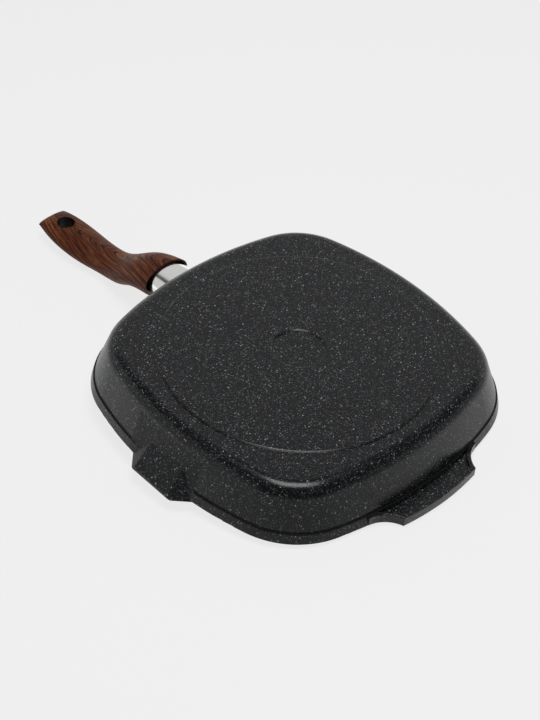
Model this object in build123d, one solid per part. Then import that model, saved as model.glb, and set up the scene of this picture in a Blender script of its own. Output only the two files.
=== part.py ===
"""Square grill pan with a helper handle and a long wood-look handle.

Millimetres. The pan stands on its base with +Z up. The origin is the centre of the base, on the
plane that touches the hob. The long handle points along -X and the helper handle along +X. The
spout that the photograph shows is on the +Y side.
"""
import os
from math import atan, cos, radians, sin, sqrt, tan

from build123d import *

# Pan casting: outline and walls
pan_width = 280.0
pan_height = 43.0
rim_side_radius = 300.0
rim_corner_radius = 68.0
rim_band_height = 8.7
rim_band_step = 3.1
rim_band_lean = 2.2
rim_edge_radius = 0.8
wall_draft_angle = 20.0
wall_thickness = 4.5
floor_thickness = 6.0
base_edge_radius = 12.0
floor_edge_radius = 9.0

# Pan casting: underside
contact_disc_radius = 107.5
contact_disc_step = 0.8
contact_disc_edge = 0.4
centre_recess_radius = 20.0
centre_recess_depth = 0.8

# Grill ridges
ridge_pitch = 13.0
ridge_height = 4.0
ridge_foot_width = 6.6
ridge_crest_width = 3.4
ridge_gutter = 8.0
ridge_end_angle = 40.0

# Pouring spouts, one in each long side
spout_offset = 3.0
spout_reach = 8.8
spout_foot_height = 23.8
spout_foot_half_width = 17.6
spout_lip_height = 2.5
spout_lip_half_width = 18.4
spout_side_half_width = 24.3
spout_block_half_width = 34.0
spout_wall = 3.2
spout_edge_radius = 3.0

# Helper handle, a flat tab with an edge band around a web
helper_reach = 14.7
helper_corner_setback = 3.3
helper_half_width = 38.0
helper_root_half_width = 57.0
helper_flank_radius = 25.0
helper_band_width = 3.0
helper_web_depth = 3.5
helper_overlap = 20.0

# Handle lug, cast on the wall. Lug, ferrule and collar share one tilted axis, and distances along
# it count away from the pan, from a point this far beyond the rim and this high.
mouth_reach = 10.0
mouth_height = 30.0
mouth_tilt = 5.0
lug_half_width = 15.0
lug_half_height = 9.0
lug_end = 10.0
lug_root = 24.0

# Ferrule, an oval steel sleeve that widens towards the pan
ferrule_half_width = 18.6
ferrule_half_height = 11.4
ferrule_flare = 0.1
ferrule_wall = 1.0
ferrule_clearance = 0.1
ferrule_root = 24.0

# Grip: at each station the reach beyond the rim, the rise above the mouth, half width, half thickness
grip_collar_stations = ((5.0, 0.5, 23.5, 15.2), (15.0, 2.0, 22.5, 14.7), (27.0, 5.4, 21.3, 14.6))
grip_neck_stations = ((43.0, 12.8, 20.0, 12.2), (59.0, 23.2, 17.5, 11.6), (72.0, 28.7, 14.7, 12.0))
grip_palm_stations = ((86.0, 31.3, 14.5, 11.8), (106.0, 33.9, 16.7, 10.3), (128.0, 34.5, 17.8, 9.6))
grip_tail_stations = ((145.0, 34.1, 16.9, 8.8), (157.0, 33.6, 15.1, 6.8), (164.0, 33.4, 14.0, 2.8))
grip_collar_reach = 12.3
grip_length = 151.2
grip_tail_rise = 33.7
grip_tail_nose = 30.0
grip_collar_nose = 80.0
grip_seat_depth = 13.0
grip_mouth_side_gap = 3.1
grip_mouth_top_gap = 0.4
hang_hole_setback = 20.1
hang_hole_radius = 7.5
hang_hole_point_radius = 3.0
hang_hole_point_reach = 5.6

# Fixing bolt, on a steeper straight axis from the hanging hole to the lug, and what is on it
bolt_radius = 2.5
bolt_clearance = 0.3
bolt_seat_reach = 110.0
bolt_seat_rise = 31.0
bolt_mouth_rise = 2.0
bolt_head_radius = 4.0
bolt_head_height = 3.2
bolt_drive_width = 1.1
bolt_drive_length = 4.6
bolt_drive_depth = 1.8
bolt_engagement = 17.0
washer_radius = 4.2
washer_thickness = 1.0
spring_washer_radius = 4.0
spring_washer_thickness = 1.2
spring_washer_slot = 0.8
insert_radius = 3.6
insert_length = 15.0
insert_thread_clearance = 0.05
insert_sink = 5.4

# Sizes worked out from the ones above
rim_half = pan_width / 2
band_bottom = pan_height - rim_band_height
wall_slope = tan(radians(wall_draft_angle))
wall_inset = wall_thickness / cos(radians(wall_draft_angle))
side_centre = rim_side_radius - rim_half
corner_gap = rim_side_radius - rim_corner_radius
corner_centre = (sqrt(2 * corner_gap**2 - side_centre**2) - side_centre) / 2
mouth_x = -(rim_half + mouth_reach)
bolt_angle = atan((bolt_seat_rise - bolt_mouth_rise) / (bolt_seat_reach - mouth_reach))
collar_x = -rim_half - grip_collar_reach
tail_x = collar_x - grip_length
hang_hole_x = tail_x + hang_hole_setback


def outer_inset(height):
    """How far the sloping outer wall lies inside the rim's outline at a height."""
    return rim_band_step + (band_bottom - height) * wall_slope


def bowed_square(inset):
    """A square face with bowed sides and round corners, parallel to the rim and inset from it."""
    side_radius = rim_side_radius - inset
    corner_radius = rim_corner_radius - inset
    tangent_x = side_radius * (corner_centre + side_centre) / corner_gap - side_centre
    tangent_y = side_radius * corner_centre / corner_gap
    corner_mid = corner_centre + corner_radius / sqrt(2)
    side = ThreePointArc((tangent_x, -tangent_y), (rim_half - inset, 0), (tangent_x, tangent_y))
    corner = ThreePointArc((tangent_x, tangent_y), (corner_mid, corner_mid), (tangent_y, tangent_x))
    edges = [edge.rotate(Axis.Z, 90 * turn) for turn in range(4) for edge in (side, corner)]
    return make_face(Wire(edges))


def bowed_block(low, low_inset, high, high_inset):
    """The solid between two levels whose outlines are both parallel to the rim."""
    return loft([Pos(0, 0, low) * bowed_square(low_inset), Pos(0, 0, high) * bowed_square(high_inset)],
                ruled=True)


def pan_blocks(clearance):
    """The outsides of the walls and of the rim band as plain blocks, both grown by a clearance."""
    low = contact_disc_step
    walls = bowed_block(low, outer_inset(low) - clearance, band_bottom, outer_inset(band_bottom) - clearance)
    band = bowed_block(band_bottom - clearance, rim_band_lean - clearance, pan_height, -clearance)
    return walls, band


def mouth_plane(distance):
    """The plane across the ferrule's axis, a distance further from the pan than its reference."""
    outward = Vector(-cos(radians(mouth_tilt)), 0, sin(radians(mouth_tilt)))
    return Plane(Vector(mouth_x, 0, mouth_height) + outward * distance, x_dir=(0, 1, 0), z_dir=outward)


def bolt_plane(distance):
    """The plane across the bolt's axis, a distance from the head's seat towards the pan."""
    inward = Vector(cos(bolt_angle), 0, -sin(bolt_angle))
    seat = Vector(-rim_half - bolt_seat_reach, 0, mouth_height + bolt_seat_rise)
    return Plane(seat + inward * distance, x_dir=(0, 1, 0), z_dir=inward)


def rod(start, end, radius):
    """A round bar on the bolt's axis, between two distances from the head's seat."""
    return extrude(bolt_plane(start) * Circle(radius), end - start)


def oval_bar(start, end, start_half, end_half):
    """A solid on the ferrule's axis between two ovals, each given as half width and half height."""
    return loft([mouth_plane(start) * Ellipse(*start_half), mouth_plane(end) * Ellipse(*end_half)],
                ruled=True)


def spout_block(shrink):
    """The faceted block of a spout on the +Y side, with its facets moved inwards by shrink."""
    foot_z = spout_foot_height
    foot_y = rim_half - outer_inset(foot_z)
    lip_y = rim_half + spout_reach
    lip_z = pan_height - spout_lip_height
    side_y = rim_half - outer_inset(band_bottom)
    foot = Vector(spout_foot_half_width, foot_y, foot_z)
    lip = Vector(spout_lip_half_width, lip_y, lip_z)
    side = Vector(spout_side_half_width, side_y, band_bottom)
    side_normal = (lip - foot).cross(side - foot).normalized()
    front_normal = Vector(0, lip_z - foot_z, foot_y - lip_y).normalized()
    root_y = rim_half / 2
    block = Pos(0, (root_y + lip_y) / 2, (foot_z + pan_height) / 2) * Box(
        2 * spout_block_half_width, lip_y - root_y, pan_height - foot_z)
    mirrored = Vector(-side_normal.X, side_normal.Y, side_normal.Z)
    corners = (foot, foot, Vector(-foot.X, foot.Y, foot.Z))
    for corner, normal in zip(corners, (front_normal, side_normal, mirrored)):
        facet = Plane(corner - normal * shrink, z_dir=normal)
        block = split(block, facet, keep=Keep.BOTTOM)
    arrises = [edge for edge in block.edges() if is_spout_arris(edge.center())]
    return fillet(arrises, spout_edge_radius)


def is_spout_arris(middle):
    """Tells an outer edge between two facets of a spout, by the edge's middle."""
    return rim_half - spout_reach < middle.Y and abs(middle.X) > spout_foot_half_width / 2 \
        and middle.Z < pan_height - spout_lip_height / 4


def spout_places():
    """The spout that the photograph shows, and its twin on the other side."""
    return [Pos(spout_offset, 0, 0), Pos(spout_offset, 0, 0) * Rot(0, 0, 180)]


def helper_outline():
    """The helper handle's face seen from above, reaching well inside the rim."""
    corner_x = rim_half + helper_reach - helper_corner_setback
    root_x = sqrt(rim_side_radius**2 - helper_root_half_width**2) - side_centre
    inside_x = rim_half - helper_overlap
    upper = (corner_x, helper_half_width)
    lower = (corner_x, -helper_half_width)
    root = helper_root_half_width
    edges = [
        ThreePointArc(lower, (rim_half + helper_reach, 0), upper),
        RadiusArc(upper, (root_x, root), helper_flank_radius),
        Line((root_x, root), (inside_x, root)),
        Line((inside_x, root), (inside_x, -root)),
        Line((inside_x, -root), (root_x, -root)),
        RadiusArc((root_x, -root), lower, helper_flank_radius),
    ]
    return make_face(Wire(edges))


def helper_handle():
    """A tab as deep as the rim band, hollowed from below so that an edge band stands around a web."""
    outline = helper_outline()
    tab = extrude(Pos(0, 0, band_bottom) * outline, rim_band_height)
    tab = fillet(tab.edges().filter_by(Plane.XY), rim_edge_radius)
    return tab - extrude(Pos(0, 0, band_bottom) * offset(outline, -helper_band_width), helper_web_depth)


def grill_ridges():
    """Straight ridges along X, cut off where the gutter around the floor begins."""
    inset = outer_inset(floor_thickness) + wall_inset + ridge_gutter
    run_in = ridge_height * tan(radians(ridge_end_angle))
    zone = bowed_block(floor_thickness - ridge_height, inset, floor_thickness + ridge_height, inset + run_in)
    half_span = rim_half - inset - ridge_foot_width
    count = int(half_span / ridge_pitch)
    foot_z = floor_thickness - ridge_height / 4
    crest_z = floor_thickness + ridge_height
    section = Polygon((-ridge_foot_width / 2, foot_z), (ridge_foot_width / 2, foot_z),
                      (ridge_crest_width / 2, crest_z), (-ridge_crest_width / 2, crest_z), align=None)
    section = fillet(section.vertices().sort_by(Axis.Y)[-2:], ridge_crest_width / 3)
    bar = extrude(Plane.YZ * section, rim_half, both=True)
    bars = [Pos(0, step * ridge_pitch, 0) * bar for step in range(-count, count + 1)]
    return [bar & zone for bar in bars]


def pan_body():
    """The casting: base, walls, rim band, spouts, helper handle, handle lug and grill ridges."""
    walls, band = pan_blocks(0)
    walls = fillet(walls.faces().sort_by(Axis.Z)[0].edges(), base_edge_radius)
    band = fillet(band.edges().filter_by(Plane.XY), rim_edge_radius)
    body = walls + band + helper_handle()
    for place in spout_places():
        body += place * spout_block(0)
    lug = (lug_half_width, lug_half_height)
    body += oval_bar(-lug_root, lug_end, lug, lug)

    cavity = bowed_block(floor_thickness, outer_inset(floor_thickness) + wall_inset,
                         pan_height + 1, outer_inset(pan_height + 1) + wall_inset)
    cavity = fillet(cavity.faces().sort_by(Axis.Z)[0].edges(), floor_edge_radius)
    body -= cavity
    for place in spout_places():
        body -= place * spout_block(spout_wall)

    disc = Cylinder(contact_disc_radius, 2 * contact_disc_step, align=(Align.CENTER, Align.CENTER, Align.MIN))
    disc = fillet(disc.edges().sort_by(Axis.Z)[0], contact_disc_edge)
    recess = Cylinder(centre_recess_radius, centre_recess_depth,
                      align=(Align.CENTER, Align.CENTER, Align.MIN))
    body = body + disc - recess
    body += grill_ridges()
    start = insert_distance()
    body -= rod(start - 2 * insert_radius, start + insert_length, insert_radius)
    return body - rod(start, start + bolt_engagement + bolt_radius / 2, bolt_radius + bolt_clearance)


def bolt_lug_distance():
    """Distance from the bolt's seat to where its axis enters the lug's end face."""
    return (rim_half + bolt_seat_reach + mouth_plane(lug_end).origin.X) / cos(bolt_angle)


def insert_distance():
    """Distance from the bolt's seat to the insert, sunk just below the lug's slanting end face."""
    return bolt_lug_distance() + insert_sink * tan(bolt_angle - radians(mouth_tilt))


def ferrule_oval(distance, width_change=0.0, height_change=0.0):
    """Half width and half height of the ferrule's outer oval at a distance, both changed as asked."""
    taper = distance * ferrule_flare / ferrule_half_width
    return (ferrule_half_width * (1 - taper) + width_change,
            ferrule_half_height * (1 - taper) + height_change)


def ferrule():
    """A tapered oval sleeve of sheet steel from the grip's seat to the pan, cut to the pan's side."""
    start = -ferrule_root
    end = grip_seat_depth - ferrule_clearance
    outside = oval_bar(start, end, ferrule_oval(start), ferrule_oval(end))
    inside = oval_bar(start, end, ferrule_oval(start, -ferrule_wall, -ferrule_wall),
                      ferrule_oval(end, -ferrule_wall, -ferrule_wall))
    return outside - inside - pan_blocks(ferrule_clearance)


def grip_form():
    """The solid form of the grip: ovals square to an S-shaped centre line, from collar to tail."""
    stations = grip_collar_stations + grip_neck_stations + grip_palm_stations + grip_tail_stations
    sections = []
    for index, (reach, rise, half_width, half_thickness) in enumerate(stations):
        before = stations[max(index - 1, 0)]
        after = stations[min(index + 1, len(stations) - 1)]
        along = Vector(before[0] - after[0], 0, after[1] - before[1])
        middle = Vector(-rim_half - reach, 0, mouth_height + rise)
        sections.append(Plane(middle, x_dir=(0, 1, 0), z_dir=along) * Ellipse(half_width, half_thickness))
    return loft(sections)


def rounded_end(tip_x, height, radius, inward):
    """What an end keeps when it is given a round nose, seen from the side; inward is 1 or -1 in X."""
    centre_x = tip_x + inward * radius
    nose = Pos(centre_x, 0, height) * Rot(90, 0, 0) * Cylinder(radius, pan_width)
    rest = Pos(centre_x + inward * pan_width, 0, height) * Box(2 * pan_width, pan_width, 2 * pan_width)
    return nose + rest


def hang_hole():
    """The hanging hole's prism, round at the tail and drawn to a blunt point towards the pan."""
    tail = Pos(hang_hole_x, 0) * Circle(hang_hole_radius)
    point = Pos(hang_hole_x + hang_hole_point_reach, 0) * Circle(hang_hole_point_radius)
    return extrude(make_hull([*tail.edges(), *point.edges()]), 3 * pan_height)


def handle_grip():
    """The moulded grip: collar with two ears over the ferrule, neck, palm swell, tail and bores."""
    form = grip_form()
    form &= rounded_end(tail_x, mouth_height + grip_tail_rise, grip_tail_nose, 1)
    form &= rounded_end(collar_x, mouth_height, grip_collar_nose, -1)
    socket = oval_bar(0, grip_seat_depth, ferrule_oval(0, grip_mouth_side_gap, grip_mouth_top_gap),
                      ferrule_oval(grip_seat_depth, ferrule_clearance, ferrule_clearance))
    lug = (lug_half_width, lug_half_height)
    form = form - socket + oval_bar(lug_end, grip_seat_depth, lug, lug) - hang_hole()
    form -= rod(0, bolt_lug_distance() + bolt_radius, bolt_radius + bolt_clearance)
    channel = (-rim_half - bolt_seat_reach - hang_hole_x) / cos(bolt_angle)
    return form - rod(-channel, 0, washer_radius + bolt_clearance)


def handle_bolt():
    """A long screw with a pan head and a cross recess; its tip is held in the lug's insert."""
    head_seat = -washer_thickness - spring_washer_thickness
    head_top = head_seat - bolt_head_height
    shank = rod(head_seat, insert_distance() + bolt_engagement, bolt_radius)
    head = rod(head_top, head_seat, bolt_head_radius)
    head = fillet(head.edges().sort_by(Axis.X)[0], bolt_head_height / 3)
    slot = Box(bolt_drive_width, bolt_drive_length, 2 * bolt_drive_depth)
    recess = bolt_plane(head_top).location * (slot + Rot(0, 0, 90) * slot)
    return shank + head - recess


def flat_washer():
    """The flat washer between the grip's seat and the spring washer."""
    return rod(-washer_thickness, 0, washer_radius) - rod(-washer_thickness, 0, bolt_radius + bolt_clearance)


def spring_washer():
    """The split ring under the bolt's head, pressed flat."""
    top = -washer_thickness - spring_washer_thickness
    ring = rod(top, -washer_thickness, spring_washer_radius)
    ring -= rod(top, -washer_thickness, bolt_radius + bolt_clearance)
    cut = Pos(spring_washer_radius, 0, 0) * Box(2 * spring_washer_radius, spring_washer_slot,
                                                4 * spring_washer_thickness)
    return ring - bolt_plane(-washer_thickness).location * cut


def threaded_insert():
    """The steel insert in the lug that takes the bolt's thread."""
    start = insert_distance()
    bore = rod(start, start + insert_length, bolt_radius + insert_thread_clearance)
    return rod(start, start + insert_length, insert_radius) - bore


sub_parts = {
    "pan_body": pan_body,
    "ferrule": ferrule,
    "handle_grip": handle_grip,
    "handle_bolt": handle_bolt,
    "flat_washer": flat_washer,
    "spring_washer": spring_washer,
    "threaded_insert": threaded_insert,
}

if __name__ == "__main__":
    os.makedirs("parts", exist_ok=True)
    for name, make in sub_parts.items():
        solid = make()
        export_step(solid, f"parts/{name}.step")
        print(name, len(solid.solids()), round(solid.volume), solid.is_valid)
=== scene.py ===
import math

import bpy
import numpy as np
from mathutils import Matrix, Vector


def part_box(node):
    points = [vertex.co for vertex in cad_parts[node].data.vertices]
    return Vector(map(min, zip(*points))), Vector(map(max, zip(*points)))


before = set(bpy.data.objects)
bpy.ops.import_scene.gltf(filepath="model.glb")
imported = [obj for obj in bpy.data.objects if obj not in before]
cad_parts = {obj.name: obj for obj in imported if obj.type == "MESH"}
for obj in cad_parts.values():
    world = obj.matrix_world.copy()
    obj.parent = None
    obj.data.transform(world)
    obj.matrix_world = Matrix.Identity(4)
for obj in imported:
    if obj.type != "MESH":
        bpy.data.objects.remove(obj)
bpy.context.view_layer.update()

# The camera's place round the middle of the rim, as the photograph shows the pan: angles in degrees,
# distances in metres, lens and sensor in millimetres. Positive elevation looks at the underside.
CAMERA_AZIMUTH = -46.24
CAMERA_ELEVATION = 43.55
CAMERA_ROLL = 4.24
CAMERA_DISTANCE = 1.2920
CAMERA_SLIDE = (-0.0193, 0.0220)
CAMERA_LENS = 83.8
CAMERA_SENSOR = 36.0
CAMERA_NEAREST = 0.01
CAMERA_FARTHEST = 50.0

# Colour of the backdrop and of both floors, the strength of a floor's own glow, the share that the glow
# has in the floor's look, and the floor's half width in metres
BACKDROP = (0.863, 0.863, 0.863)
FLOOR_GLOW = 1.07
FLOOR_GLOW_SHARE = 0.84
FLOOR_REACH = 4.0

# Brightness of the surround, with the pan as it lies in the photograph: the soft box above and behind
# it, the dark room in front of that, the floor near the viewer, the floor elsewhere, and the place
# straight below, which the pan's open side faces
SOFT_BOX = 0.60
DARK_ROOM = 0.035
NEAR_FLOOR = 0.62
SIDE_FLOOR = 0.98
OPEN_SIDE = 0.80

# Where the surround changes, as parts of a direction of length one. The dark room starts past a slanted
# edge, ends at the left, and fades at the right by a share. Below the horizon, the near floor gives way
# to the rest, which dims by a share before the place straight below
ROOM_SLANT = 0.84
ROOM_EDGE = (-0.03, 0.04)
ROOM_LEFT = (0.76, 0.68)
ROOM_RIGHT = (-0.76, -0.92)
ROOM_RIGHT_FADE = 0.6
HORIZON = (-0.03, 0.03)
FLOOR_CHANGE = (0.7, 0.0)
FLOOR_DIM = (0.42, 0.54)
FLOOR_DIM_SHARE = 0.3
STRAIGHT_BELOW = (0.60, 0.75)

# Lamps: name, place and size in metres, power in watts
LAMPS = (
    ("above_the_base", (0.05, 0.04, -1.2), 0.56, 8.0),
    ("above_the_open_side", (0.35, -0.40, 1.6), 0.90, 10.0),
)

# Specks of the coating, from the finest: cell size in metres, share of cells with a speck, largest
# radius as a fraction of the cell, colour
SPECKS = (
    (0.0009, 0.75, 0.56, (0.028, 0.030, 0.033)),
    (0.0011, 0.52, 0.54, (0.058, 0.062, 0.067)),
    (0.0013, 0.36, 0.52, (0.070, 0.108, 0.118)),
    (0.0013, 0.32, 0.52, (0.150, 0.112, 0.086)),
    (0.0014, 0.34, 0.50, (0.180, 0.191, 0.197)),
    (0.0019, 0.30, 0.42, (0.350, 0.394, 0.402)),
)

# Sizes that the coating follows, in metres: the contact disc and its step, the recess in it, the foot
# of the wall where it meets the rim band, how far out the wall reaches there, and the spouts' half
# width, their least distance from the pan's middle and their least height
DISC_RADIUS = 0.1075
DISC_STEP = 0.0008
RECESS_RADIUS = 0.020
WALL_FOOT = 0.0343
WALL_REACH = 0.1382
SPOUT_HALF_WIDTH = 0.0345
SPOUT_LEAST_Y = 0.120
SPOUT_LEAST_Z = 0.010

# Rounding of the disc's and the recess's edges, in metres: where it starts beside each edge, where it
# ends, and its depth. The slope shades the step's own wall
EDGE_START = 0.0002
DISC_EDGE_END = 0.0014
RECESS_EDGE_END = 0.0012
EDGE_DEPTH = 0.0004
STEP_SLOPE = 2.2

# The painted shade line in the corner at the wall's foot: heights from the foot, in metres, where it
# starts, is full, is still full and ends. The outer wall is where the normal points down by the second pair
FOOT_SHADE_LINE = (-0.0024, -0.0002, 0.0002, 0.0006)
OUTER_WALL_NORMAL = (-0.10, -0.30)

# The coating's two charcoals, the black of the painted shade at the wall's foot, and the roughness of the
# coating, with what its clouds, the painted shade at the wall's foot and the spouts add to it
CHARCOALS = ((0.0062, 0.0066, 0.0077), (0.0092, 0.0098, 0.0112))
FOOT_SHADE_BLACK = (0.002, 0.002, 0.002)
COATING_ROUGHNESS = 0.20
CLOUD_ROUGHNESS = 0.05
FOOT_SHADE_ROUGHNESS = 0.4
SPOUT_ROUGHNESS = 0.30

# Places on the grip, in metres: the middle of the hanging hole, its radius, the end of the collar's
# socket and the middle height of its mouth
HOLE_X = -0.2834
HOLE_RADIUS = 0.0078
SOCKET_END_X = -0.1662
SOCKET_HEIGHT = 0.0302

# The grip's middle line, in metres: how far from the pan's middle it starts and stops rising, its
# height at the collar and its rise from there
GRIP_RISE_REACH = (0.142, 0.238)
GRIP_MIDDLE_Z = 0.030
GRIP_RISE = 0.034

# The printed wood figure, in metres: the radius that makes an angle round the section a length, the
# figure's shift round it, the place of the first arch and the spacing of the dark lines. An arch is
# rounded over its top and stretched along the grip by a factor
SECTION_RADIUS = 0.014
FIGURE_SHIFT = 0.0014
FIRST_ARCH_X = -0.2666
LINE_SPACING = 0.016
ARCH_TOP = 0.0095
ARCH_STRETCH = 5.5

# Colours of the printed wood: the grain from its dark to its pale strands, with each one's place on the
# ramp, and those of the pale patches, dark lines, pores, and the painted shade on the collar's end and in
# the hollows
GRAIN = (
    (0.34, (0.036, 0.010, 0.006)),
    (0.47, (0.110, 0.029, 0.012)),
    (0.58, (0.190, 0.054, 0.021)),
    (0.70, (0.350, 0.125, 0.050)),
)
PATCH_COLOUR = (0.40, 0.150, 0.058)
LINE_COLOUR = (0.014, 0.006, 0.005)
PORE_COLOUR = (0.020, 0.008, 0.006)
COLLAR_END_SHADE_COLOUR = (0.040, 0.013, 0.008)
HOLLOW_SHADE_COLOUR = (0.007, 0.005, 0.004)


class Shade:
    """A socket of a node tree. Arithmetic on it adds Math nodes, also with a plain number on the left."""

    def __init__(self, maker, socket):
        self.maker = maker
        self.socket = socket

    def math(self, operation, *others):
        values = {index + 1: other for index, other in enumerate(others)}
        return self.maker.node("ShaderNodeMath", {"operation": operation}, {0: self, **values})

    def __add__(self, other):
        return self.math("ADD", other)

    def __radd__(self, other):
        return self.math("ADD", other)

    def __sub__(self, other):
        return self.math("SUBTRACT", other)

    def __rsub__(self, other):
        return self.maker.node("ShaderNodeMath", {"operation": "SUBTRACT"}, {0: other, 1: self})

    def __mul__(self, other):
        return self.math("MULTIPLY", other)

    def __rmul__(self, other):
        return self.math("MULTIPLY", other)

    def __pow__(self, other):
        return self.math("POWER", other)

    def __lt__(self, other):
        return self.math("LESS_THAN", other)

    def __gt__(self, other):
        return self.math("GREATER_THAN", other)


class Nodes:
    """A node tree under construction: one node method, and short helpers for what the finishes share."""

    def __init__(self, tree):
        self.tree = tree
        self.tree.nodes.clear()

    def node(self, kind, settings=None, inputs=None, output=0):
        """Any node: its settings first, then the values or links of its sockets, by name or number."""
        made = self.tree.nodes.new(kind)
        for name, value in (settings or {}).items():
            if name == "stops":
                ramp = made.color_ramp
                while len(ramp.elements) < len(value):
                    ramp.elements.new(0.5)
                for element, (place, colour) in zip(ramp.elements, value):
                    element.position = place
                    element.color = (*colour, 1.0)
            else:
                setattr(made, name, value)
        for name, value in (inputs or {}).items():
            self.feed(made.inputs[name], value)
        return Shade(self, made.outputs[output])

    def feed(self, socket, value):
        """Links a Shade to a socket, or sets the socket's own value."""
        if isinstance(value, Shade):
            self.tree.links.new(value.socket, socket)
        elif hasattr(value, "__len__") and len(value) == 3 and socket.type == "RGBA":
            socket.default_value = (*value, 1.0)
        else:
            socket.default_value = value

    def place(self):
        """Object coordinates, in metres."""
        return self.node("ShaderNodeTexCoord", output="Object")

    def mapped(self, scale):
        """Object coordinates stretched by a scale for each axis."""
        return self.node("ShaderNodeMapping", {}, {"Vector": self.place(), "Scale": scale})

    def noise(self, size, vector=None, detail=3.0, roughness=0.5):
        """Noise whose lumps are about size metres across, from 0 to 1."""
        source = vector or self.place()
        return self.node("ShaderNodeTexNoise", {}, {
            "Vector": source, "Scale": 1.0 / size, "Detail": detail, "Roughness": roughness})

    def blend(self, factor, first, second):
        """Mixes two colours."""
        made = self.tree.nodes.new("ShaderNodeMix")
        made.data_type = "RGBA"
        self.feed(made.inputs[0], factor)
        self.feed(made.inputs[6], first)
        self.feed(made.inputs[7], second)
        return Shade(self, made.outputs[2])

    def step(self, value, low, high):
        """Rises smoothly from 0 to 1 as value goes from low to high."""
        return self.node("ShaderNodeMapRange", {"interpolation_type": "SMOOTHSTEP"},
                         {0: value, 1: low, 2: high, 3: 0.0, 4: 1.0})

    def parts(self, value, kind="ShaderNodeSeparateColor"):
        """The three channels of a colour or a vector."""
        made = self.tree.nodes.new(kind)
        self.feed(made.inputs[0], value)
        return [Shade(self, socket) for socket in made.outputs[:3]]

    def bump(self, height, strength, distance):
        """A bump from a height, with its depth in metres."""
        return self.node("ShaderNodeBump", {}, {
            "Height": height, "Strength": strength, "Distance": distance})


class Finish(Nodes):
    """A material under construction, with its shader. What never changes over it is set by name here."""

    def __init__(self, name, **constants):
        self.material = bpy.data.materials.new(name)
        self.material.use_nodes = True
        super().__init__(self.material.node_tree)
        self.shader = self.tree.nodes.new("ShaderNodeBsdfPrincipled")
        self.output = self.tree.nodes.new("ShaderNodeOutputMaterial")
        self.tree.links.new(self.shader.outputs[0], self.output.inputs["Surface"])
        for socket, value in constants.items():
            self.shader.inputs[socket.replace("_", " ")].default_value = value

    def drive(self, **sockets):
        """Feeds the shader's own sockets."""
        for name, value in sockets.items():
            self.feed(self.shader.inputs[name.replace("_", " ")], value)


def speckles(finish, place, index, base):
    """Lays one size of speck over a base colour.

    A share of the Voronoi cells of that size hold a speck. Its radius is at most the fraction fill of
    the cell, and both its radius and its strength differ from cell to cell. Each size is shifted and
    turned in its own way, so that the sizes never line up.
    """
    cell, share, fill, colour = SPECKS[index]
    turned = finish.node("ShaderNodeMapping", {}, {
        "Vector": place, "Location": (0.31 + 0.17 * index, 0.23 * index, 0.4 + 0.13 * index),
        "Rotation": (0.5 + 0.7 * index, 0.9 * index, 1.3 * index)})
    inputs = {"Vector": turned, "Scale": 1.0 / cell}
    distance = finish.node("ShaderNodeTexVoronoi", {}, inputs, "Distance")
    chance, width, strength = finish.parts(finish.node("ShaderNodeTexVoronoi", {}, inputs, "Color"))
    radius = (width * 0.6 + 0.4) * fill
    mask = finish.step(distance, radius, radius * 0.5) * (chance < share) * (strength * 0.8 + 0.2)
    return finish.blend(mask, base, colour), mask


def soft_edges(finish, x, y, z):
    """Height, in metres, that rounds the edge of the contact disc and the edge of its recess.

    It falls from the faces towards the step, and along the step's own wall it rises with z, so that
    the wall is shaded as a slope.
    """
    radius = (x * x + y * y) ** 0.5
    disc = finish.step(radius, DISC_RADIUS - EDGE_START, DISC_RADIUS - DISC_EDGE_END)
    recess = finish.step(radius, RECESS_RADIUS + RECESS_EDGE_END, RECESS_RADIUS + EDGE_START)
    on_face = z < DISC_STEP / 2
    return (disc - recess) * on_face * EDGE_DEPTH + z.math("MINIMUM", DISC_STEP) * STEP_SLOPE


def on_spouts(x, y, z):
    """Where the two spouts stand out of the walls, up to the rim."""
    across = x.math("ABSOLUTE") < SPOUT_HALF_WIDTH
    return across * (y.math("ABSOLUTE") > SPOUT_LEAST_Y) * (z > SPOUT_LEAST_Z)


def wall_foot_shade(finish, x, y, z):
    """Painted shade in the corner between the outer wall and the rim band, darkening it where shade falls.
    """
    normal = finish.parts(finish.node("ShaderNodeTexCoord", output="Normal"), "ShaderNodeSeparateXYZ")
    outer = finish.step(normal[2], *OUTER_WALL_NORMAL)
    start, full, still_full, end = (WALL_FOOT + height for height in FOOT_SHADE_LINE)
    above = finish.step(z, start, full)
    below = finish.step(z, end, still_full)
    on_wall = (x < WALL_REACH) * (y.math("ABSOLUTE") < WALL_REACH)
    return outer * above * below * on_wall * (1.0 - on_spouts(x, y, z))


def stone_coating():
    """Charcoal non-stick coating with dense fine white, teal and tan specks and a slight orange peel."""
    finish = Finish("stone_coating", IOR=1.38)
    place = finish.place()
    x, y, z = finish.parts(place, "ShaderNodeSeparateXYZ")
    cloud = finish.noise(0.012, place, 2.0)
    base = finish.blend(cloud, *CHARCOALS)
    raised = 0.0
    for index in range(len(SPECKS)):
        base, mask = speckles(finish, place, index, base)
        raised = mask + raised
    # Painted shade: a dark line in the corner at the wall's foot, black, partly metallic and rougher so it
    # reflects little
    shade = wall_foot_shade(finish, x, y, z)
    peel = finish.noise(0.0025, place, 2.0)
    relief = (peel + raised * 0.3) * 0.00003 + soft_edges(finish, x, y, z)
    finish.drive(Base_Color=finish.blend(shade * 0.9, base, FOOT_SHADE_BLACK), Metallic=shade * 0.4,
                 Roughness=COATING_ROUGHNESS + cloud * CLOUD_ROUGHNESS + shade * FOOT_SHADE_ROUGHNESS
                 + on_spouts(x, y, z) * SPOUT_ROUGHNESS,
                 Normal=finish.bump(relief, 1.0, 1.0))
    return finish.material


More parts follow.
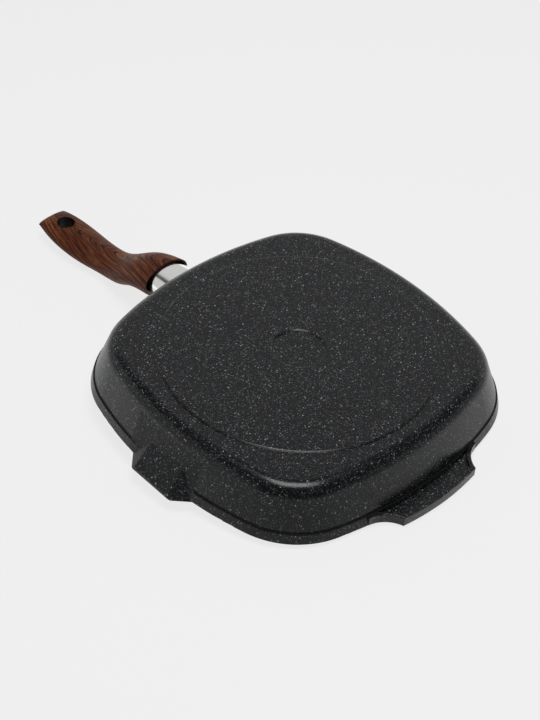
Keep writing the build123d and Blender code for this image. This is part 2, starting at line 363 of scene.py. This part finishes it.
def satin_steel():
    """Satin stainless steel with faint drawing lines along the sleeve."""
    finish = Finish("satin_steel", Metallic=1.0)
    lines = finish.noise(0.0005, finish.mapped((0.03, 1.0, 1.0)), 2.0)
    tone = finish.blend(lines, (0.88, 0.88, 0.87), (0.95, 0.95, 0.94))
    finish.drive(Base_Color=tone, Roughness=0.10 + lines * 0.05, Normal=finish.bump(lines, 0.12, 0.00003))
    return finish.material


def hollow_and_end_shade(finish, x, y, z):
    """Painted shade in the hanging hole, the collar's socket and on the collar's end, which faces the pan.
    """
    normal = finish.parts(finish.node("ShaderNodeTexCoord", output="Normal"), "ShaderNodeSeparateXYZ")
    hole = ((x - HOLE_X) * (x - HOLE_X) + y * y) ** 0.5 < HOLE_RADIUS
    inward = normal[1] * y + normal[2] * (z - SOCKET_HEIGHT) < 0.0
    end = finish.step(normal[0], 0.35, 0.60)
    return hole.math("MAXIMUM", inward * (x > SOCKET_END_X)), end * (x > SOCKET_END_X)


def wood_look():
    """Moulded grip with a printed rosewood figure.

    The figure follows the grip: across is the way round the section from the middle of the underside,
    along is the distance from the first arch. Its rings are nested arches, along minus a hyperbola of
    across, bent by noise, so they open towards the pan and run along the grip's sides.
    """
    finish = Finish("wood_look_grip", IOR=1.45, Specular_IOR_Level=0.1)
    place = finish.place()
    x, y, z = finish.parts(place, "ShaderNodeSeparateXYZ")
    middle = finish.step(x * -1.0, *GRIP_RISE_REACH) * GRIP_RISE + GRIP_MIDDLE_Z
    turn = finish.node("ShaderNodeMath", {"operation": "ARCTAN2"}, {0: y, 1: middle - z})
    across = turn * SECTION_RADIUS + FIGURE_SHIFT
    along = x - FIRST_ARCH_X
    flow = finish.node("ShaderNodeCombineXYZ", {}, {0: along * 0.25, 1: across, 2: z * 0.3})
    sway = finish.noise(0.018, flow, 2.0) - 0.5
    bent = across + sway * 0.007
    arch = (bent * bent + ARCH_TOP ** 2) ** 0.5 - ARCH_TOP
    rings = along - arch * ARCH_STRETCH + sway * 0.014
    nearness = ((rings * (1.0 / LINE_SPACING)).math("FRACT") - 0.5).math("ABSOLUTE") * 2.0
    grain_place = finish.node("ShaderNodeCombineXYZ", {}, {0: rings * 0.35, 1: across * 0.16, 2: z * 0.1})
    grain = finish.noise(0.0011, grain_place, 3.0, 0.6)
    figure = finish.node("ShaderNodeValToRGB", {"stops": GRAIN}, {"Fac": grain})
    patch_place = finish.node("ShaderNodeCombineXYZ", {}, {0: along * 0.6, 1: across, 2: 0.0})
    patch = finish.step(finish.noise(0.022, patch_place, 2.0), 0.50, 0.72)
    toned = finish.blend(patch * 0.4, figure, PATCH_COLOUR)
    line = finish.step(nearness, 0.74, 0.93)
    toned = finish.blend(line * 0.85, toned, LINE_COLOUR)
    pore_place = finish.node("ShaderNodeCombineXYZ", {}, {0: along * 0.20, 1: across, 2: z})
    pores = finish.step(finish.noise(0.0006, pore_place, 2.0, 0.6), 0.50, 0.34)
    toned = finish.blend(pores * 0.65, toned, PORE_COLOUR)
    # Painted shade: the hanging hole, the collar's socket and the collar's end are darkened where shade
    # falls on them
    hollow_shade, end = hollow_and_end_shade(finish, x, y, z)
    toned = finish.blend(end * 0.8, toned, COLLAR_END_SHADE_COLOUR)
    toned = finish.blend(hollow_shade, toned, HOLLOW_SHADE_COLOUR)
    finish.drive(Base_Color=toned, Roughness=0.44 + grain * 0.10,
                 Normal=finish.bump(grain + line * -0.5, 0.2, 0.00006))
    return finish.material


def zinc_steel():
    """Zinc-plated steel of the bolt, washers and insert."""
    finish = Finish("zinc_steel", Metallic=1.0)
    cloud = finish.noise(0.002)
    tone = finish.blend(cloud, (0.50, 0.50, 0.49), (0.66, 0.65, 0.62))
    finish.drive(Base_Color=tone, Roughness=0.32 + cloud * 0.1, Normal=finish.bump(cloud, 0.1, 0.00002))
    return finish.material


def dress(node, material):
    """Gives a CAD node one material."""
    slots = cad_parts[node].data.materials
    slots.clear()
    slots.append(material)


def photo_axes():
    """The camera's right, up and back directions, in the pan's frame.

    The angles are taken round the pan as it lies in the photograph, upside down, so Y and Z change sign.
    """
    azimuth, elevation, roll = (math.radians(a) for a in (CAMERA_AZIMUTH, CAMERA_ELEVATION, CAMERA_ROLL))
    back = np.array([math.cos(elevation) * math.cos(azimuth), math.cos(elevation) * math.sin(azimuth),
                     math.sin(elevation)])
    level = np.array([-math.sin(azimuth), math.cos(azimuth), 0.0])
    rise = np.cross(back, level)
    right = math.cos(roll) * level + math.sin(roll) * rise
    up = math.cos(roll) * rise - math.sin(roll) * level
    turned_over = np.array([1.0, -1.0, -1.0])
    return right * turned_over, up * turned_over, back * turned_over


def photo_camera():
    """The camera at the photograph's viewing angle."""
    right, up, back = photo_axes()
    rim = np.array([0.0, 0.0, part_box("pan_body")[1].z])
    eye = rim + CAMERA_SLIDE[0] * right + CAMERA_SLIDE[1] * up + CAMERA_DISTANCE * back
    lens = bpy.data.cameras.new("photo_camera")
    lens.lens = CAMERA_LENS
    lens.sensor_width = CAMERA_SENSOR
    lens.clip_start = CAMERA_NEAREST
    lens.clip_end = CAMERA_FARTHEST
    camera = bpy.data.objects.new("photo_camera", lens)
    turn = Matrix([(right[i], up[i], back[i], eye[i]) for i in range(3)] + [(0, 0, 0, 1)])
    camera.matrix_world = turn
    bpy.context.scene.collection.objects.link(camera)
    bpy.context.scene.camera = camera


def pale_floor_material(name, seen_from_above):
    """Pale paper, lit by the lamps and partly glowing, that shows from one side only."""
    finish = Finish(name, Base_Color=(*BACKDROP, 1.0), Roughness=0.9, Specular_IOR_Level=0.0)
    lit = Shade(finish, finish.shader.outputs[0])
    glow = finish.node("ShaderNodeEmission", {}, {"Color": BACKDROP, "Strength": FLOOR_GLOW})
    paper = finish.node("ShaderNodeMixShader", {}, {0: FLOOR_GLOW_SHARE, 1: lit, 2: glow})
    clear = finish.node("ShaderNodeBsdfTransparent")
    behind = finish.node("ShaderNodeNewGeometry", output="Backfacing")
    first, second = (paper, clear) if seen_from_above else (clear, paper)
    shown = finish.node("ShaderNodeMixShader", {}, {0: behind, 1: first, 2: second})
    finish.feed(finish.output.inputs["Surface"], shown)
    return finish.material


def floor(name, corners, material):
    """A flat stage sheet that only the camera sees."""
    mesh = bpy.data.meshes.new(name)
    mesh.from_pydata([tuple(c) for c in corners], [], [(0, 1, 2, 3)])
    mesh.materials.append(material)
    sheet = bpy.data.objects.new(name, mesh)
    bpy.context.scene.collection.objects.link(sheet)
    for ray in ("diffuse", "glossy", "transmission", "shadow"):
        setattr(sheet, f"visible_{ray}", False)


def floors():
    """The floor under the base, and the one on which the pan lies upside down in the photograph."""
    square = [(FLOOR_REACH * i, FLOOR_REACH * j) for i, j in ((-1, -1), (1, -1), (1, 1), (-1, 1))]
    floor("floor_under_base", [(x, y, 0.0) for x, y in square], pale_floor_material("pale_floor", True))
    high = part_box("pan_body")[1]
    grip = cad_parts["handle_grip"].data
    points = np.empty(len(grip.vertices) * 3, np.float32)
    grip.vertices.foreach_get("co", points)
    points = points.reshape(-1, 3)
    slope = float(((points[:, 2] - high.z) / (high.x - points[:, 0])).max())
    corners = [(x, y, high.z + slope * (high.x - x)) for x, y in square]
    floor("floor_of_photograph", corners, pale_floor_material("pale_floor_beyond", False))


def lamp(name, place, size, power):
    """A square soft lamp at a place, turned to the pan."""
    light = bpy.data.lights.new(name, "AREA")
    light.shape = "SQUARE"
    light.size = size
    light.energy = power
    made = bpy.data.objects.new(name, light)
    made.location = place
    made.rotation_mode = "QUATERNION"
    made.rotation_quaternion = (-Vector(place)).to_track_quat("-Z", "Y")
    bpy.context.scene.collection.objects.link(made)


def surround(world):
    """Brightness of what the pan mirrors, from the direction alone.

    front and side are the direction's parts towards the photograph's viewer and to their left, and z is
    positive below the pan as it lies there. Above it, the soft box ends at a slanted edge, and the dark
    room fills the rest as far as the soft box's sides. Below, the floor is darker towards the viewer.
    """
    x, y, z = world.parts(world.node("ShaderNodeTexCoord", output="Generated"), "ShaderNodeSeparateXYZ")
    _, _, back = photo_axes()
    level = math.hypot(back[0], back[1])
    front = x * (back[0] / level) + y * (back[1] / level)
    side = y * (back[0] / level) - x * (back[1] / level)
    in_front = world.step(front - z * ROOM_SLANT, *ROOM_EDGE)
    between_sides = world.step(side, *ROOM_LEFT) * (1.0 - world.step(side, *ROOM_RIGHT) * ROOM_RIGHT_FADE)
    overhead = SOFT_BOX - in_front * between_sides * (SOFT_BOX - DARK_ROOM)
    ground = world.step(front, *FLOOR_CHANGE) * (SIDE_FLOOR - NEAR_FLOOR) + NEAR_FLOOR
    ground = ground * (1.0 - world.step(z, *FLOOR_DIM) * FLOOR_DIM_SHARE)
    ground = ground + world.step(z, *STRAIGHT_BELOW) * (OPEN_SIDE - ground)
    return overhead + world.step(z, *HORIZON) * (ground - overhead)


def studio():
    """Soft studio light: a pale backdrop for the camera, and for the rest a surround and two lamps."""
    scenery = bpy.data.worlds.new("studio")
    bpy.context.scene.world = scenery
    scenery.use_nodes = True
    world = Nodes(scenery.node_tree)
    light = world.node("ShaderNodeBackground", {}, {"Color": surround(world)})
    shown = world.node("ShaderNodeBackground", {}, {"Color": BACKDROP})
    camera_ray = world.node("ShaderNodeLightPath", output="Is Camera Ray")
    mixed = world.node("ShaderNodeMixShader", {}, {0: camera_ray, 1: light, 2: shown})
    output = world.tree.nodes.new("ShaderNodeOutputWorld")
    world.feed(output.inputs["Surface"], mixed)
    for name, place, size, power in LAMPS:
        lamp(name, place, size, power)


dress("pan_body", stone_coating())
dress("ferrule", satin_steel())
dress("handle_grip", wood_look())
steel = zinc_steel()
for piece in ("handle_bolt", "flat_washer", "spring_washer", "threaded_insert"):
    dress(piece, steel)

photo_camera()
floors()
studio()
bpy.context.scene.view_settings.view_transform = "Standard"
